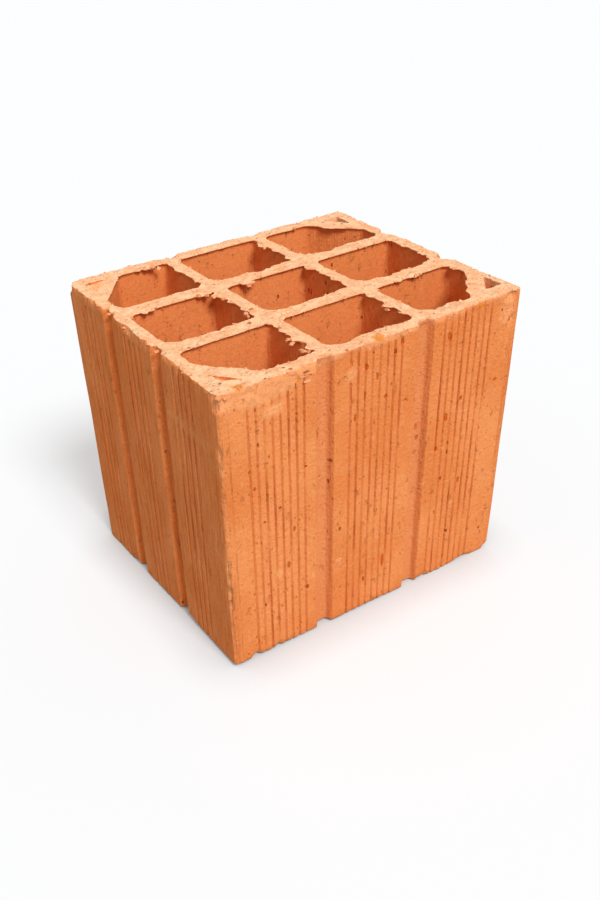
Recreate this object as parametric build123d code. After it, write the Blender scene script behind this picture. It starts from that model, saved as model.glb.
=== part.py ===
"""A hollow clay brick, one fired piece.

Clay is pushed through a die, so the whole section runs straight along Z, and a wire cuts each end.
Nine cells stand in a three by three grid. A slanted brace crosses the outer corner of each corner
cell and leaves a small three-sided pocket outside it. Every side has a keying groove near
each web, and fine score lines on the flat panels between the grooves.

Sizes are in millimetres. The origin is at the centre of the bottom face and +Z points up.
"""
import os
from math import hypot

from build123d import *

# Overall size of the fired brick.
length = 190
depth = 160
height = 172

# Thickness of the clay: the outer walls, the webs between columns and between rows of cells, and the
# braces in the corners.
wall = 7.5
column_web = 6
row_web = 8
brace = 7

# The grid of cells.
column_count = 3
row_count = 3

# Rounding of each cell's corners. The one toward the front left is the widest.
cell_round = 5
wide_round = 8.5

# Where a brace meets the cell: the share of the cell's width and depth that it takes off the corner.
brace_x_share = 0.41
brace_y_share = 0.64
brace_round = 5
pocket_round = 1.2

# Rounding of the brick's upright corners. The front left one is the sharpest.
corner_round = 5
sharp_corner_round = 2

# Keying grooves, one near each web. The grooves of a side stand this far apart, and this far off the
# middle of the side, toward the back on the short sides and toward the left on the long ones.
long_side_groove_gap = 63
short_side_groove_gap = 52.5
long_side_offset = 2.5
short_side_offset = 4.8
groove_mouth = 11
groove_floor = 6.5
groove_deep = 3.8
groove_round = 1.2

# Score lines on the flat panels: the long sides have more of them, set closer.
long_side_line_count = 8
long_side_pitch = 4.6
short_side_line_count = 4
short_side_pitch = 5.3
line_mouth = 1.7
line_floor = 0.6
line_deep = 0.8

# How far a cut runs past the face that it opens.
overrun = 2

cell_x = (length - 2 * wall - (column_count - 1) * column_web) / column_count
cell_y = (depth - 2 * wall - (row_count - 1) * row_web) / row_count
step_x = cell_x + column_web
step_y = cell_y + row_web
brace_run_x = cell_x * brace_x_share
brace_run_y = cell_y * brace_y_share


def centred(count, pitch):
    """Places for a row of like features, spread evenly about zero."""
    return [(place - (count - 1) / 2) * pitch for place in range(count)]


def rounded_shape(points, radii):
    """A filled outline with its own rounding at each corner."""
    outline = FilletPolyline(*points, radius=radii, close=True)
    return make_face(outline)


def block():
    """The outer rectangle with its upright corners rounded."""
    x, y = length / 2, depth / 2
    points = [(-x, -y), (x, -y), (x, y), (-x, y)]
    radii = [sharp_corner_round, corner_round, corner_round, corner_round]
    return rounded_shape(points, radii)


def plain_cell():
    """One cell away from the brick's corners, about its own centre."""
    x, y = cell_x / 2, cell_y / 2
    points = [(-x, -y), (x, -y), (x, y), (-x, y)]
    radii = [wide_round, cell_round, cell_round, cell_round]
    return rounded_shape(points, radii)


def braced_cell(side_x, side_y):
    """A corner cell: the corner toward side_x, side_y is cut off by the brace."""
    x, y = side_x * cell_x / 2, side_y * cell_y / 2
    points = [(-x, -y), (x, -y), (x, y - side_y * brace_run_y), (x - side_x * brace_run_x, y), (-x, y)]
    inner_round = cell_round if side_x < 0 or side_y < 0 else wide_round
    beside_x = wide_round if side_x < 0 < side_y else cell_round
    beside_y = wide_round if side_y < 0 < side_x else cell_round
    return rounded_shape(points, [inner_round, beside_x, brace_round, brace_round, beside_y])


def corner_pocket(side_x, side_y):
    """The three-sided pocket between a brace and the brick's corner, about the corner cell's centre."""
    brace_reach = brace_run_x * brace_run_y / hypot(brace_run_x, brace_run_y)
    pocket_share = 1 - brace / brace_reach
    x, y = side_x * cell_x / 2, side_y * cell_y / 2
    run_x = side_x * brace_run_x * pocket_share
    run_y = side_y * brace_run_y * pocket_share
    return rounded_shape([(x, y), (x - run_x, y), (x, y - run_y)], [pocket_round] * 3)


def openings():
    """Every hole through the section."""
    holes = []
    for column, x in enumerate(centred(column_count, step_x)):
        side_x = {0: -1, column_count - 1: 1}.get(column, 0)
        for row, y in enumerate(centred(row_count, step_y)):
            side_y = {0: -1, row_count - 1: 1}.get(row, 0)
            if side_x and side_y:
                holes.append(Pos(x, y) * braced_cell(side_x, side_y))
                holes.append(Pos(x, y) * corner_pocket(side_x, side_y))
            else:
                holes.append(Pos(x, y) * plain_cell())
    return holes


def channel(mouth, floor, deep, floor_round):
    """A channel cut into a face along y = 0, with the clay below it and slanted flanks."""
    points = [(-mouth / 2, 0), (-floor / 2, -deep), (floor / 2, -deep), (mouth / 2, 0),
              (mouth / 2, overrun), (-mouth / 2, overrun)]
    return rounded_shape(points, [0, floor_round, floor_round, 0, 0, 0])


def grooves(web_count, gap):
    """The keying grooves of one side, laid along y = 0."""
    return [Pos(x, 0) * channel(groove_mouth, groove_floor, groove_deep, groove_round)
            for x in centred(web_count, gap)]


def score_lines(panel_count, panel_step, line_count, line_pitch):
    """The score lines of one side, laid along y = 0: a group on each flat panel."""
    lines = []
    for panel in centred(panel_count, panel_step):
        for x in centred(line_count, line_pitch):
            lines.append(Pos(panel + x, 0) * channel(line_mouth, line_floor, line_deep, 0))
    return lines


def outer_cuts():
    """The grooves and score lines of all four sides."""
    long_side = grooves(column_count - 1, long_side_groove_gap)
    long_side += score_lines(column_count, step_x, long_side_line_count, long_side_pitch)
    short_side = grooves(row_count - 1, short_side_groove_gap)
    short_side += score_lines(row_count, step_y, short_side_line_count, short_side_pitch)
    cuts = []
    for turn, offset in ((0, -long_side_offset), (180, long_side_offset)):
        cuts += [Rot(0, 0, turn) * Pos(offset, depth / 2) * cut for cut in long_side]
    for turn, offset in ((90, short_side_offset), (270, -short_side_offset)):
        cuts += [Rot(0, 0, turn) * Pos(offset, length / 2) * cut for cut in short_side]
    return cuts


def hollow_brick():
    """The section, drawn once and run up the full height."""
    section = block() - outer_cuts() - openings()
    return extrude(section, amount=height)


os.makedirs("parts", exist_ok=True)
export_step(hollow_brick(), "parts/hollow_brick.step")
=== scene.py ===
from itertools import product
from math import ceil, cos, hypot, pi, radians, sin, tan

import bpy
import numpy as np
from mathutils import Matrix, Vector
from mathutils.geometry import delaunay_2d_cdt


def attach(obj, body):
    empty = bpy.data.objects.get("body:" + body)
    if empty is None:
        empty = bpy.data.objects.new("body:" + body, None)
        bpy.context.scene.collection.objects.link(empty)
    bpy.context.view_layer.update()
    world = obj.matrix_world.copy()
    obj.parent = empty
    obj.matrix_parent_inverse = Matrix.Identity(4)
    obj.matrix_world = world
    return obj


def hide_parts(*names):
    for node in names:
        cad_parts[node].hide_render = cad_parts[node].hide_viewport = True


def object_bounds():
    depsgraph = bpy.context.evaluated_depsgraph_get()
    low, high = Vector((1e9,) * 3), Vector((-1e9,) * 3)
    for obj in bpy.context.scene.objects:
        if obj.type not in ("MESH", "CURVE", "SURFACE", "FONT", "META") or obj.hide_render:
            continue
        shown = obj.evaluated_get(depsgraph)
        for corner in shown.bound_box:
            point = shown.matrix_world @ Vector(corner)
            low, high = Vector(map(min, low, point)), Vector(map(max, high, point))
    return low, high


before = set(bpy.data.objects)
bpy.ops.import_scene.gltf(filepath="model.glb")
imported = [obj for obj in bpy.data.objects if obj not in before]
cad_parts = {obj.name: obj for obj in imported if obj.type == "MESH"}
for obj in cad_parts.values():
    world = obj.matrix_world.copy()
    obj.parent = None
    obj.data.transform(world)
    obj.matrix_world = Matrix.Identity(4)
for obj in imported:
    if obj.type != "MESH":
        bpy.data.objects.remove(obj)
cad_low, cad_high = [tuple(corner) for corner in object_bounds()]

# Sizes of the brick, in metres. The box comes from the frame, and the rest repeats the section.
mm = 0.001
length, depth, height = (high - low for low, high in zip(cad_low, cad_high))
half_length, half_depth = length / 2, depth / 2
wall = 7.5 * mm
column_web = 6 * mm
row_web = 8 * mm
brace = 7 * mm
cell_round = 5 * mm
wide_round = 8.5 * mm
crisp_round = 2.6 * mm
brace_x_share, brace_y_share = 0.41, 0.64
brace_round = 5 * mm
pocket_round = 1.2 * mm
corner_round = 5 * mm
sharp_corner_round = 2 * mm
worn_corner_round = 2 * mm
back_corner_round = 3.2 * mm
groove_mouth = 11 * mm
groove_deep = 3.8 * mm
long_side_groove_gap = 63 * mm
short_side_groove_gap = 52.5 * mm
long_side_offset = 2.5 * mm
short_side_offset = 4.8 * mm
long_side_line_count, long_side_pitch = 8, 4.6 * mm
short_side_line_count, short_side_pitch = 4, 5.3 * mm
line_mouth = 1.7 * mm
wide_line_mouth = 2.5 * mm
line_deep = 0.8 * mm

cell_x = (length - 2 * wall - 2 * column_web) / 3
cell_y = (depth - 2 * wall - 2 * row_web) / 3
step_x = cell_x + column_web
step_y = cell_y + row_web
brace_run_x = cell_x * brace_x_share
brace_run_y = cell_y * brace_y_share
pocket_share = 1 - brace * hypot(brace_run_x, brace_run_y) / (brace_run_x * brace_run_y)

# Rounding of the corner cells, by their side of the brick: the corner toward the brick's middle, the
# corner on the short side's wall, and the one on the long side's wall.
corner_cell_rounds = {
    (-1, -1): (crisp_round, cell_round, cell_round),
    (-1, 1): (cell_round, wide_round, crisp_round),
    (1, -1): (cell_round, cell_round, wide_round),
    (1, 1): (wide_round, cell_round, cell_round),
}

# The faces stand this far inside the box, so that relief and burrs stay in it.
skin_inset = 0.35 * mm
top_inset = 0.7 * mm
cut_top = height - top_inset
end_margin = 0.1 * mm

# How far each corner of the real brick is out of square: in along X, in along Y, and down.
# The corners are left front, right front, right back and left back.
corner_sides = [(-1, -1), (1, -1), (1, 1), (-1, 1)]
foot_inward = [(0, 1.5 * mm, -2 * mm), (1.5 * mm, 1.5 * mm, 0), (0, 0, 0), (0.6 * mm, 1.5 * mm, 0)]
head_inward = [(0, 0, 3 * mm), (0, 0, 0), (1.5 * mm, 0, 0), (0.3 * mm, 0, 0)]


class Noise:
    """Smooth repeatable noise over space, from about -1 to 1."""

    cells = 32

    def __init__(self, seed):
        self.table = np.random.default_rng(seed).random((self.cells,) * 3) * 2 - 1

    def at(self, points, size):
        place = np.asarray(points) / size
        base = np.floor(place).astype(int)
        near = place - base
        near = near * near * (3 - 2 * near)
        total = np.zeros(len(place))
        for corner in product((0, 1), repeat=3):
            share = np.abs(1 - np.array(corner) - near)
            x, y, z = ((base + corner) % self.cells).T
            total += share[:, 0] * share[:, 1] * share[:, 2] * self.table[x, y, z]
        return total

    def layered(self, points, size, layers):
        """Noise with finer and weaker layers on top."""
        total = sum(self.at(points, size / 2 ** layer) / 2 ** layer for layer in range(layers))
        return total / sum(1 / 2 ** layer for layer in range(layers))


waves = Noise(3)
grit = Noise(5)
tears = Noise(8)
wear = Noise(11)


def uneven(points, noise, tall, size, layers, stretch=(1, 1, 1)):
    """One kind of unevenness: its noise, height, size of a bump, layers, and frequency for each axis."""
    return tall * noise.layered(points * stretch, size, layers)


def clamp(values):
    """Values held between zero and one."""
    return np.clip(values, 0, 1)


def fade(away, reach, power=2):
    """One at no distance, falling to zero past a reach. A higher power falls later and faster."""
    return np.exp(-(away / reach) ** power)


def turned(x, y, angle):
    """A flat place turned about zero."""
    return x * cos(angle) - y * sin(angle), x * sin(angle) + y * cos(angle)


def oval_reach(points, centre, half):
    """Distance from the middle of an oval space, as a share of its half sizes in millimetres."""
    offset = (points - np.array(centre) * mm) / (np.array(half) * mm)
    return np.sqrt(np.sum(offset ** 2, axis=1))


def flat_reach(points, x, y, half_x, half_y, turn=0):
    """Distance from the middle of a flat oval, turned by some degrees, as a share of its half sizes."""
    along, across = turned(points[:, 0] - x * mm, points[:, 1] - y * mm, radians(-turn))
    return np.hypot(along / (half_x * mm), across / (half_y * mm))


def out_of_square(points):
    """Leans the true block to the shape of the fired one."""
    share = (points - cad_low) / (length, depth, height)
    moved = points.copy()
    for (side_x, side_y), foot, head in zip(corner_sides, foot_inward, head_inward):
        near_x = share[:, 0] if side_x > 0 else 1 - share[:, 0]
        near_y = share[:, 1] if side_y > 0 else 1 - share[:, 1]
        weight = near_x * near_y
        for axis, sign in ((0, -side_x), (1, -side_y), (2, -1)):
            inward = foot[axis] * (1 - share[:, 2]) + head[axis] * share[:, 2]
            moved[:, axis] += weight * sign * inward
    return moved


# Gaps between points: on plain skin, beside a corner, around a corner, and around a cell.
plain_gap = 2.4 * mm
corner_gap, corner_gap_count = 0.9 * mm, 7
arc_gap = 1.2 * mm
outline_gap = 0.8 * mm


def rounded_outline(corners, radii):
    """Points around a closed outline whose corners are rounded."""
    points = []
    corners = [Vector(corner) for corner in corners]
    for index, (corner, radius) in enumerate(zip(corners, radii)):
        back = (corners[index - 1] - corner).normalized()
        ahead = (corners[(index + 1) % len(corners)] - corner).normalized()
        half = back.angle(ahead) / 2
        centre = corner + (back + ahead).normalized() * radius / sin(half)
        start = corner + back * radius / tan(half) - centre
        turn = pi - 2 * half
        sense = 1 if back.cross(ahead) < 0 else -1
        count = max(2, ceil(radius * turn / outline_gap))
        for k in range(count + 1):
            points.append(centre + Vector(turned(*start, sense * turn * k / count)))
    return np.array([tuple(point) for point in points])


def evenly(points, count):
    """The same closed outline as a number of evenly spaced points."""
    closed = np.vstack([points, points[:1]])
    run = np.concatenate([[0], np.cumsum(np.linalg.norm(np.diff(closed, axis=0), axis=1))])
    places = np.arange(count) / count * run[-1]
    return np.column_stack([np.interp(places, run, closed[:, axis]) for axis in (0, 1)])


def hole_normals(points):
    """Directions out of the clay around a hole whose outline runs counterclockwise."""
    along = np.roll(points, -1, axis=0) - np.roll(points, 1, axis=0)
    along /= np.linalg.norm(along, axis=1)[:, None]
    return np.column_stack([-along[:, 1], along[:, 0]])


def counterclockwise(points):
    """The outline in the order that keeps its inside on the left."""
    x, y = points[:, 0], points[:, 1]
    area = np.sum(x * np.roll(y, -1) - y * np.roll(x, -1))
    return points if area > 0 else points[::-1]


def centred(count, pitch):
    """Places for a row of like features, spread evenly about zero."""
    return [(place - (count - 1) / 2) * pitch for place in range(count)]


class Surface:
    """Gathers the vertices, faces and painted values of one mesh."""

    def __init__(self):
        self.points = []
        self.values = {"cut": [], "inner": [], "line": [], "groove": [], "chip": []}
        self.faces = []
        self.count = 0

    def add(self, points, **painted):
        """Adds vertices and gives the number of each."""
        amount = len(points)
        self.points.append(np.asarray(points, float))
        for name, rows in self.values.items():
            rows.append(np.broadcast_to(np.asarray(painted.get(name, 0.0), float), amount))
        numbers = np.arange(self.count, self.count + amount)
        self.count += amount
        return numbers

    def band(self, lower, upper, in_hole):
        """Faces between two closed rings of the same number of vertices."""
        for a, b, c, d in zip(lower, np.roll(lower, -1), np.roll(upper, -1), upper):
            self.faces.append((a, d, c, b) if in_hole else (a, b, c, d))

    def walls(self, rings, in_hole):
        """Bands of faces down a list of rings, from the highest to the lowest."""
        for upper, lower in zip(rings, rings[1:]):
            self.band(lower, upper, in_hole)

    def taper_band(self, coarse, fine):
        """Faces in a hole from a ring up to one with several times as many vertices."""
        ratio = len(fine) // len(coarse)
        for index in range(len(coarse)):
            run = [fine[(index * ratio + k) % len(fine)] for k in range(ratio + 1)]
            self.faces.append((coarse[index], *run, coarse[(index + 1) % len(coarse)]))

    def arrays(self):
        """All the vertices and painted values so far."""
        values = {name: np.concatenate(rows) for name, rows in self.values.items()}
        return np.vstack(self.points), values


# Steps across a keying groove and a score line: share of the half width, and share of the depth.
groove_steps = [
    (-1.0, 0.0), (-0.93, 0.10), (-0.76, 0.55), (-0.62, 0.88), (-0.48, 0.99), (0.0, 1.0), (0.48, 0.99),
    (0.62, 0.88), (0.76, 0.55), (0.93, 0.10), (1.0, 0.0),
]
line_steps = [
    (-1.0, 0.0), (-0.32, 1.0), (0.32, 1.0), (1.0, 0.0),
]


def side_rows(start, end, offset, gap, panel_step, line_count, line_pitch, mouth, first_line):
    """Places along one side: distance along it, groove share, line share and line number."""
    rows = [(start, 0, 0, 0), (end, 0, 0, 0)]
    for step in range(1, corner_gap_count + 1):
        rows += [(start + step * corner_gap, 0, 0, 0), (end - step * corner_gap, 0, 0, 0)]
    for centre in centred(2, gap):
        middle = offset + centre
        rows += [(middle + share * groove_mouth / 2, deep, 0, 0) for share, deep in groove_steps]
    number = first_line
    scale = mouth / line_mouth
    for panel, place in product(centred(3, panel_step), centred(line_count, line_pitch)):
        number += 1
        middle = offset + panel + place
        rows += [(middle + share * mouth / 2, 0, deep * scale, number) for share, deep in line_steps]
    rows.sort()
    filled = []
    for row, following in zip(rows, rows[1:]):
        filled.append(row)
        apart = following[0] - row[0]
        count = ceil(apart / plain_gap)
        for k in range(1, count):
            groove = row[1] + (following[1] - row[1]) * k / count
            filled.append((row[0] + apart * k / count, groove, 0, 0))
    return filled + [rows[-1]], number


def outer_loop():
    """The brick's outline, counterclockwise: place, outward direction and the shares of each feature."""
    radii = [sharp_corner_round, worn_corner_round, corner_round, back_corner_round]
    half_x, half_y = half_length - skin_inset, half_depth - skin_inset
    long_lines = (long_side_groove_gap, step_x, long_side_line_count, long_side_pitch, line_mouth)
    short_lines = (short_side_groove_gap, step_y, short_side_line_count, short_side_pitch, wide_line_mouth)
    sides = [(2 * half_x, half_y, -long_side_offset, long_lines),
             (2 * half_y, half_x, short_side_offset, short_lines),
             (2 * half_x, half_y, long_side_offset, long_lines),
             (2 * half_y, half_x, -short_side_offset, short_lines)]
    loop, number = [], 0
    for side, (run, away, offset, lines) in enumerate(sides):
        first, last = radii[side], radii[(side + 1) % 4]
        rows, number = side_rows(-run / 2 + first, run / 2 - last, offset, *lines, number)
        angle = radians(90 * side)
        for along, *shares in rows:
            loop.append((*turned(along, -away, angle), sin(angle), -cos(angle), *shares))
        arc_steps = 2 + round(last / arc_gap)
        for k in range(1, arc_steps):
            swing = pi / 2 * k / arc_steps
            along = run / 2 - last + last * sin(swing)
            off = away - last + last * cos(swing)
            bend = angle + swing
            loop.append((*turned(along, -off, angle), sin(bend), -cos(bend), 0, 0, 0))
    return np.array(loop)


def cell_outlines():
    """Every cell as an outline, and every corner pocket with its side of the brick."""
    cells, pockets = [], []
    for column, centre_x in zip((-1, 0, 1), centred(3, step_x)):
        for row, centre_y in zip((-1, 0, 1), centred(3, step_y)):
            x, y = cell_x / 2, cell_y / 2
            corners = [(-x, -y), (x, -y), (x, y), (-x, y)]
            radii = [wide_round, cell_round, crisp_round, cell_round]
            if column and row:
                x, y = column * x, row * y
                run_x, run_y = column * brace_run_x, row * brace_run_y
                inner, beside_x, beside_y = corner_cell_rounds[column, row]
                corners = [(-x, -y), (x, -y), (x, y - run_y), (x - run_x, y), (-x, y)]
                radii = [inner, beside_x, brace_round, brace_round, beside_y]
                legs = [(x, y), (x - run_x * pocket_share, y), (x, y - run_y * pocket_share)]
                pocket = rounded_outline(legs, [pocket_round] * 3) + (centre_x, centre_y)
                pockets.append((column, row, pocket))
            cells.append(rounded_outline(corners, radii) + (centre_x, centre_y))
    return cells, pockets


def ring(points, z):
    """Flat points at a height."""
    return np.column_stack([points, np.full(len(points), z)])


def with_normals(points, normals, amount):
    """Moves points level with the ground along their own directions."""
    moved = points.copy()
    moved[:, :2] += normals * np.asarray(amount)[:, None]
    return moved


def at_end(z):
    """One on the two cut ends and zero between them."""
    return 1.0 if min(z, cut_top - z) < end_margin else 0.0


# How the score lines come and go up the brick: mean strength, swing, limits and length of a swing, and
# how far one line's pattern lies from the next one's.
line_mean, line_swing = 0.85, 0.75
weakest_line, strongest_line = 0.15, 1.25
line_swing_length = 26 * mm
line_spread = (7.3, 0, 1.7)


def line_strength(numbers, z):
    """How deep each score line runs at a height."""
    spots = np.outer(numbers, line_spread) + (0, z / line_swing_length, 0)
    strength = line_mean + line_swing * waves.layered(spots, 1.0, 3)
    return np.clip(strength, weakest_line, strongest_line)


# Where the front left edge has lost flakes, in millimetres: height up the edge, half height, reach
# along the left side and depth of each.
edge_flakes = [
    (164, 4, 3.0, 1.6), (153, 3, 2.2, 0.9), (139, 5.5, 4.6, 1.7), (131, 3, 3.6, 1.2), (122, 3, 2.6, 1.2),
    (113, 3.6, 4.4, 1.5), (103, 4, 2.6, 0.8), (92, 3, 2.4, 1.0), (82, 3.5, 3.4, 1.0), (71, 4.5, 4.4, 1.5),
    (62, 4, 4.2, 1.4), (53, 5, 6.4, 2.0), (44, 5.5, 5.6, 1.8), (37, 3, 3.6, 1.2), (27, 4.5, 3.6, 1.5),
    (16, 4, 3.0, 1.2), (6, 3.5, 2.6, 1.2),
]
flake_front_reach = 2.2 * mm
flake_bowl, flake_bowl_power = 2.2, 0.8
edge_wear_least, edge_wear_more, edge_wear_reach = 0.3 * mm, 0.6 * mm, 1.8 * mm
edge_wear_patches = (wear, 1, 5 * mm, 3, (0, 0, 1))
flake_outline = (tears, 0.22, 2.6 * mm, 3)


def front_edge_wear(points):
    """How far the sharp front left edge is worn in at each point."""
    on_left, on_front = points[:, 1] + half_depth, points[:, 0] + half_length
    amount = edge_wear_least + edge_wear_more * clamp(uneven(points, *edge_wear_patches) + 0.3)
    total = amount * fade(np.hypot(on_left, on_front), edge_wear_reach)
    ragged = uneven(points, *flake_outline)
    for place, half, wide, deep in edge_flakes:
        up = (points[:, 2] - place * mm) / (half * mm)
        out = on_left / (wide * mm) + np.maximum(on_front, 0) / flake_front_reach
        bowl = clamp(1 - np.hypot(up, out) + ragged)
        total = np.maximum(total, flake_bowl * deep * mm * bowl ** flake_bowl_power)
    return total


# Unevenness of the drawn skin, stretched along the draw.
skin_swell = (waves, 0.22 * mm, 45 * mm, 2)
skin_grain = (grit, 0.16 * mm, 4 * mm, 3, (1, 1, 0.2))
cell_swell = (waves, 0.30 * mm, 14 * mm, 2, (1, 1, 0.2))
cell_grain = (grit, 0.12 * mm, 4 * mm, 2, (1, 1, 0.3))


def skin_relief(points):
    """Unevenness of the outer skin, in metres outward."""
    return uneven(points, *skin_swell) + uneven(points, *skin_grain)


def cell_relief(points):
    """Unevenness of a cell's walls, in metres into the cell."""
    return uneven(points, *cell_swell) + uneven(points, *cell_grain)


# Crumbling of the outer edges: least depth, chips, grains, and how near a corner the edge stays whole.
edge_break_least = 0.45 * mm
edge_chips = (tears, 1, 4.5 * mm, 3)
edge_chip_deep = 2.2 * mm
edge_grains = (grit, 0.5 * mm, 2.5 * mm, 2)
whole_corner_reach = 9 * mm


def edge_break(points):
    """How far the outer edge of a cut end has crumbled back at each point."""
    chipped = edge_chip_deep * clamp(uneven(points, *edge_chips))
    corner = np.hypot(np.abs(points[:, 0]) - half_length, np.abs(points[:, 1]) - half_depth)
    broken = 1 - fade(corner, whole_corner_reach)
    return edge_break_least + broken * (uneven(points, *edge_grains) + chipped)


# Rings of the outer walls: depths below the cut top, evenly spaced ones between, and heights at the foot.
outer_depths = np.array([0, 0.5, 1.1, 1.8, 2.6, 3.5, 4.5, 5.6, 6.8, 8.1, 9.5, 11]) * mm
outer_middle = np.linspace(cut_top - 13 * mm, 12 * mm, 50)
outer_foot = np.array([10, 8.2, 6.6, 5.2, 4, 3, 2.1, 1.3, 0.6, 0]) * mm
outer_heights = np.concatenate([cut_top - outer_depths, outer_middle, outer_foot])

# How far a rim hangs out, in millimetres, by the way it faces: steadily, in slow waves, in quick
# waves and in sharp tears.
front_lip = (1.3, 0.4, 0.3, 0.0)
left_lip = (0.6, 0.0, 0.7, 0.5)
away_lip = (0.2, 0.5, 0.45, 0.3)
slow_tears = (tears, 1, 11 * mm, 2)
quick_tears = (tears, 1, 3.2 * mm, 2)
sharp_tears = (grit, 1, 1.7 * mm, 2)


def rim_outward(normals, spots, hang):
    """How far the wire dragged clay out past a rim, by which way the rim faces."""
    toward_front, toward_left = clamp(-normals[:, 1]), clamp(-normals[:, 0])
    away = clamp(normals[:, 0]) + clamp(normals[:, 1])
    slow = uneven(spots, *slow_tears)
    quick = uneven(spots + 0.5, *quick_tears)
    sharp = clamp(uneven(spots, *sharp_tears) + 0.15)

    def lip(weights, sharp):
        return sum(weight * wave for weight, wave in zip(weights, (1, slow, quick, sharp)))

    patchy = sharp * clamp(slow + 0.6)
    hung = toward_front * lip(front_lip, sharp) + toward_left * lip(left_lip, patchy)
    return hang * mm * (hung + away * lip(away_lip, sharp))


# Torn places on the rims of the top, in millimetres: place, half width, and how far clay hangs out or,
# below zero, is gone.
rim_tears = [
    (-46, 73, 3.6, 3.4), (-52, 73, 2.0, 1.6), (53, 73, 3.0, 1.4), (-29, 70, 4.0, 3.0),
    (-76, 21.5, 3.5, 3.2), (-13, 21.5, 4.0, 4.5), (-33, 14, 5.0, 4.5), (-40, 21.5, 5.0, 3.0),
    (-33, 3, 2.0, 3.0), (-33, -9, 2.0, 2.0), (-33, -17, 2.2, 3.6), (-33, 40, 3.0, 1.5), (-33, 57, 2.5, 2.0),
    (27, 34, 3.0, 2.5), (27, 49, 2.5, 1.8), (27, 60, 4.0, 4.0), (27, 15, 3.5, 4.0), (27, 4, 2.0, 1.2),
    (27, -7, 2.4, 2.4), (27, -17, 3.0, 2.4), (27, -36, 2.5, 1.6), (27, -52, 3.0, 4.2), (27, -64, 2.5, 1.8),
    (-33, -42, 2.5, 1.4), (-33, -53, 2.5, 3.6), (-33, -60, 1.8, -1.5), (-33, -66, 3.0, 3.4),
    (87.5, 8, 2.5, 1.2), (87.5, -9, 2.2, 1.8), (87.5, -17, 3.0, 3.0), (87.5, -36, 3.0, 3.4),
    (63, -29.5, 4.5, 2.2), (52, -29.5, 2.5, 1.5), (4, 29.5, 6.5, -3.6), (-6, 29.5, 2.5, 0.8),
    (50, 29.5, 4.5, -2.4), (38, 29.5, 3.0, 1.0), (20, 29.5, 3.0, 1.2), (-52, 29.5, 4.0, 0.8),
    (50, -21.5, 5.0, -2.0), (-58, -21.5, 3.5, -1.6), (-8, -21.5, 4.0, -1.2), (20, -21.5, 4.5, 1.2),
    (82, -21.5, 5.0, 2.6), (64, -21.5, 3.0, 0.8), (-60, -72.5, 10.0, 1.2), (-40, -72.5, 6.0, 1.6),
    (0, -72.5, 14.0, 2.4), (45, -72.5, 14.0, 2.6), (76, 59, 9.0, 2.4), (78, -58, 5.0, 1.4),
    (70, -65, 4.0, 2.0), (-74, -60, 9.0, 1.2),
]
tear_outline = (grit, 0.5, 2.2 * mm, 2)


def torn_rim(spots):
    """How far each point of a rim hangs out, or is broken back, at the torn places."""
    total = np.zeros(len(spots))
    ragged = 0.75 + uneven(spots, *tear_outline)
    for x, y, half, reach in rim_tears:
        near = clamp(1 - flat_reach(spots, x, y, half, half) ** 2) ** 0.5
        total += reach * mm * near * ragged
    return total


# Broken places: centre, half sizes and depth, in millimetres from the brick's own centre and foot.
chips = [
    ((-93, -78, 168), (5, 5, 6), 1.2), ((87.5, -80, 169), (3.5, 3, 2.2), 1.5),
    ((89, -80, 155), (2.2, 3, 2), 1.6), ((-94, 79, 170), (5, 5, 4), 1.6), ((-80, -80, 1), (3, 4, 3), 2.0),
    ((-66, -80, 1), (2.5, 4, 2), 1.4), ((40, -80, 1), (5, 4, 2.5), 1.3), ((72, -80, 0), (7, 4, 2.5), 1.5),
    ((95, -80, 0), (5, 5, 4), 2.2), ((-95, 40, 1), (4, 5, 3), 1.3), ((-95, -30, 0), (4, 6, 2.5), 1.4),
    ((-95, 8, 171), (4, 5, 3), 1.2), ((20, 80, 171), (6, 4, 3), 1.6), ((60, 80, 172), (5, 4, 4), 2.0),
    ((-29, 79, 171), (3.5, 3.5, 3), 2.2), ((95, 30, 171), (4, 7, 4), 1.7), ((95, -20, 172), (4, 5, 3), 1.4),
    ((95, 60, 2), (4, 6, 4), 1.4),
]
chip_outline = (tears, 0.25, 3 * mm, 2)


def chip_depth(points, centre, half, deep):
    """How deep one broken place is at each point."""
    reach = oval_reach(points, centre, half) + uneven(points, *chip_outline)
    return deep * mm * clamp(1 - reach ** 2) ** 0.5


# Bands of clay smeared over the score lines: centre and half sizes in millimetres.
smears = [
    ((-72, -80, 166), (22, 4, 7)), ((-40, -80, 170), (16, 4, 4)), ((4, -80, 170.5), (16, 4, 3)),
    ((86, -80, 163), (6, 4, 9)), ((-64, -80, 154), (6, 4, 4)), ((-18, -80, 158), (4, 3, 3)),
    ((-95, -52, 140), (3, 26, 3)), ((-95, -74, 130), (3, 10, 4)), ((-95, 0, 168), (3, 14, 3)),
    ((-95, 55, 168), (3, 14, 3)),
]
smear_outline = (tears, 0.45, 7 * mm, 3)


def smeared(points):
    """Share of each point that is covered by smeared clay."""
    total = np.zeros(len(points))
    edge = uneven(points, *smear_outline)
    for centre, half in smears:
        reach = oval_reach(points, centre, half) + edge
        total = np.maximum(total, clamp((1.15 - reach) * 4))
    return total


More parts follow.
